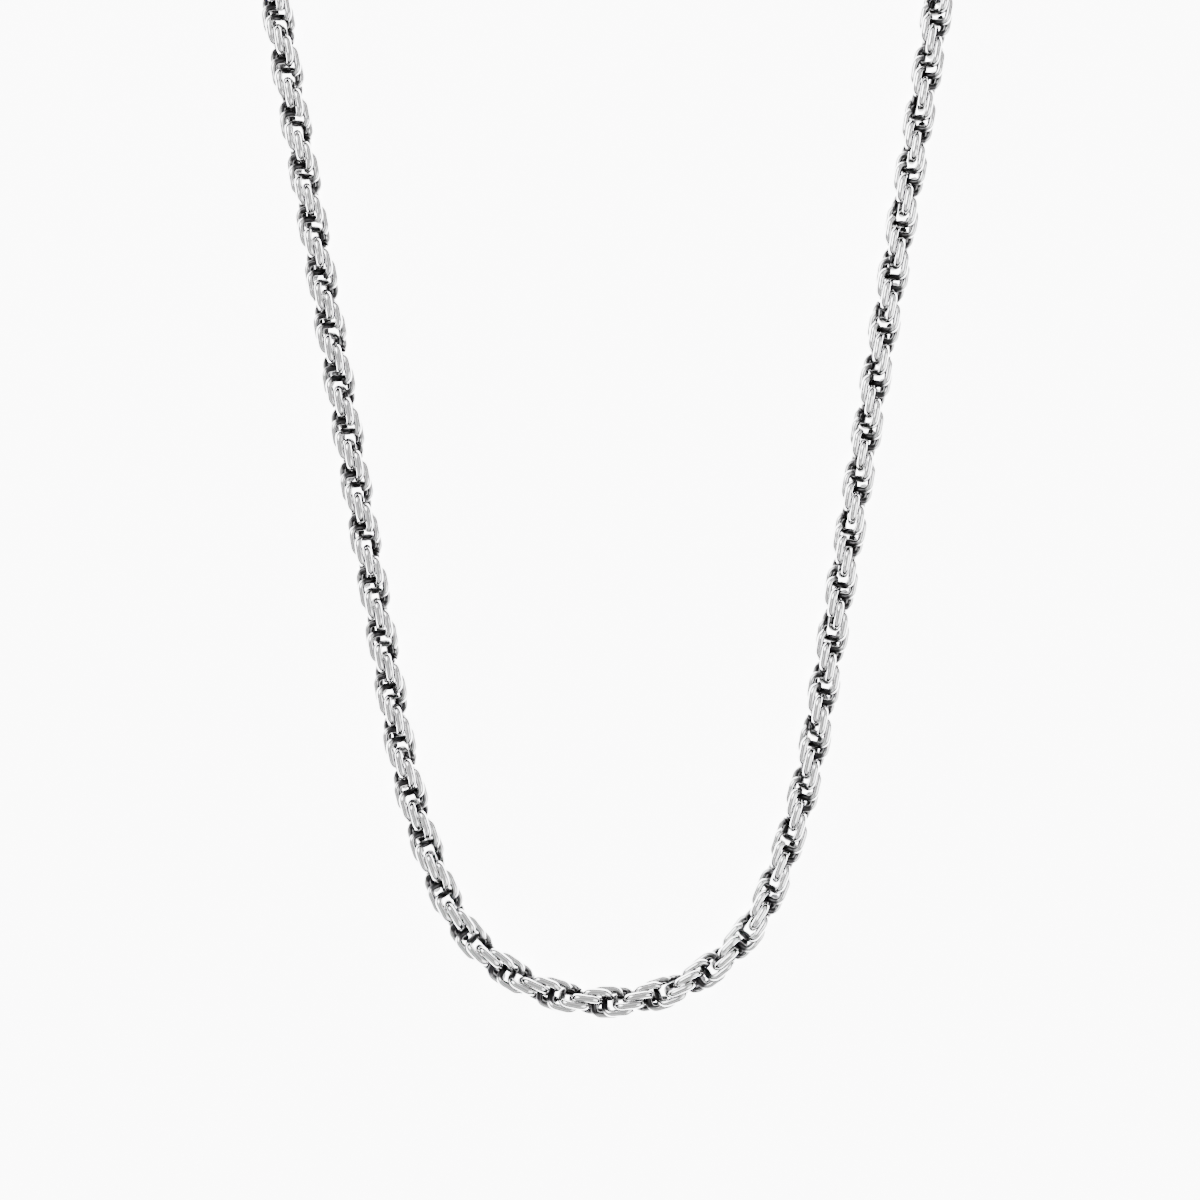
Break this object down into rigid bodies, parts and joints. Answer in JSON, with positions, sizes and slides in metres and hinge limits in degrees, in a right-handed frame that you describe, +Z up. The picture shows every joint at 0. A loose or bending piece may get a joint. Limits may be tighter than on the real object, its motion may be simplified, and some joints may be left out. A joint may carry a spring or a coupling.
{
  "type": "chain necklace",
  "caption": "Plain rope-chain necklace lying flat and fastened, with end caps and a sprung lobster clasp at the back.",
  "frame": {"origin": "under the middle of the loop, on the surface that the necklace lies on", "axes": "+Z up from the surface, +Y from the front bow to the clasp at the back, +X to the right when seen from above with the clasp at the top"},
  "size_m": [0.1014, 0.2054, 0.0049],
  "materials": {
    "polished_chain": "polished silver, oxidised between the links",
    "polished_findings": "polished silver",
    "pin_steel": "fine brushed",
    "spring_steel": "tempered strip"
  },
  "bodies": {
    "front": {"front_links": "polished_chain"},
    "links_1": {"links_1_left": "polished_chain", "links_1_right": "polished_chain", "bend_1_left": "polished_chain", "bend_1_right": "polished_chain"},
    "links_2": {"links_2_left": "polished_chain", "links_2_right": "polished_chain", "bend_2_left": "polished_chain", "bend_2_right": "polished_chain"},
    "links_3": {"links_3_left": "polished_chain", "links_3_right": "polished_chain", "bend_3_left": "polished_chain", "bend_3_right": "polished_chain"},
    "links_4": {"links_4_left": "polished_chain", "links_4_right": "polished_chain", "bend_4_left": "polished_chain", "bend_4_right": "polished_chain"},
    "back": {"back_links_left": "polished_chain", "back_links_right": "polished_chain", "end_cap_left": "polished_findings", "end_cap_right": "polished_findings", "bend_5_left": "polished_chain", "bend_5_right": "polished_chain"},
    "jump_ring": {"jump_ring": "polished_findings"},
    "catch_ring": {"catch_ring": "polished_findings"},
    "clasp": {"clasp_body": "polished_findings", "trigger_pin": "pin_steel", "trigger_spring": "spring_steel"},
    "trigger": {"trigger": "polished_findings"}
  },
  "joints": [
    {"name": "fold_1", "type": "hinge", "parent": "front", "child": "links_1", "pos_m": [0, -0.06455, 0.00211], "axis": [1, 0, 0], "range_deg": [-25, 25], "deforming": ["bend_1_left", "bend_1_right"]},
    {"name": "fold_2", "type": "hinge", "parent": "links_1", "child": "links_2", "pos_m": [0, -0.03638, 0.00211], "axis": [1, 0, 0], "range_deg": [-25, 25], "deforming": ["bend_2_left", "bend_2_right"]},
    {"name": "fold_3", "type": "hinge", "parent": "links_2", "child": "links_3", "pos_m": [0, -0.00821, 0.00211], "axis": [1, 0, 0], "range_deg": [-25, 25], "deforming": ["bend_3_left", "bend_3_right"]},
    {"name": "fold_4", "type": "hinge", "parent": "links_3", "child": "links_4", "pos_m": [0, 0.01996, 0.00211], "axis": [1, 0, 0], "range_deg": [-25, 25], "deforming": ["bend_4_left", "bend_4_right"]},
    {"name": "fold_5", "type": "hinge", "parent": "links_4", "child": "back", "pos_m": [0, 0.04813, 0.00211], "axis": [1, 0, 0], "range_deg": [-25, 25], "deforming": ["bend_5_left", "bend_5_right"]},
    {"name": "jump_ring_turn", "type": "hinge", "parent": "back", "child": "jump_ring", "pos_m": [-0.00644, 0.09976, 0.00247], "axis": [0, 1, 0], "continuous": true},
    {"name": "catch_ring_turn", "type": "hinge", "parent": "back", "child": "catch_ring", "pos_m": [0.00649, 0.09976, 0.00247], "axis": [0, 1, 0], "continuous": true},
    {"name": "clasp_roll", "type": "hinge", "parent": "back", "child": "clasp", "pos_m": [0, 0.09976, 0.00247], "axis": [1, 0, 0], "range_deg": [-8, 8]},
    {"name": "trigger_open", "type": "hinge", "parent": "clasp", "child": "trigger", "pos_m": [-0.00079, 0.10106, 0.00247], "axis": [0, 0, -1], "range_deg": [0, 25], "stiffness_Nm_per_rad": 0.004, "springref_deg": -17.19, "deforming": ["trigger_spring"]}
  ]
}
